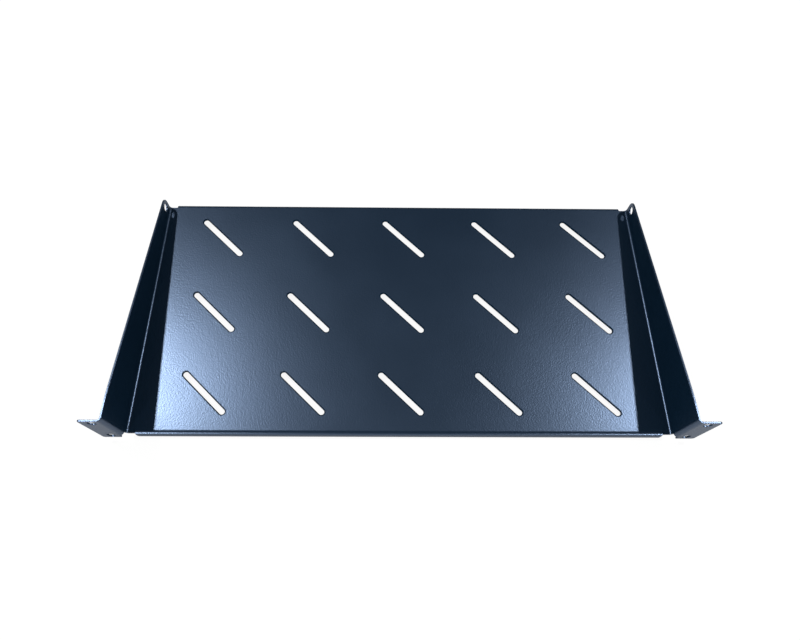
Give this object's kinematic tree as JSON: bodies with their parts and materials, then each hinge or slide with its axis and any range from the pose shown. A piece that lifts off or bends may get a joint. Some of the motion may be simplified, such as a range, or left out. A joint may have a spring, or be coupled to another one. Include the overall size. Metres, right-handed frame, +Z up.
{
  "type": "cantilever rack shelf",
  "caption": "Cantilever rack shelf folded from sheet steel: vented tray, side walls that slope down to the rear, a front lip and screw ears.",
  "frame": {"origin": "centre of the four rack screw holes, on the plane of the ears' back faces, which meets the rack's front rails", "axes": "+X along the shelf's width to the right as seen from the front, +Y back into the rack along the screws, +Z up"},
  "size_m": [0.4826, 0.2235, 0.0501],
  "materials": {
    "powder_coat": "satin blue-black powder coat with a fine texture"
  },
  "bodies": {
    "root": {"folded_shelf": "powder_coat"}
  },
  "joints": []
}
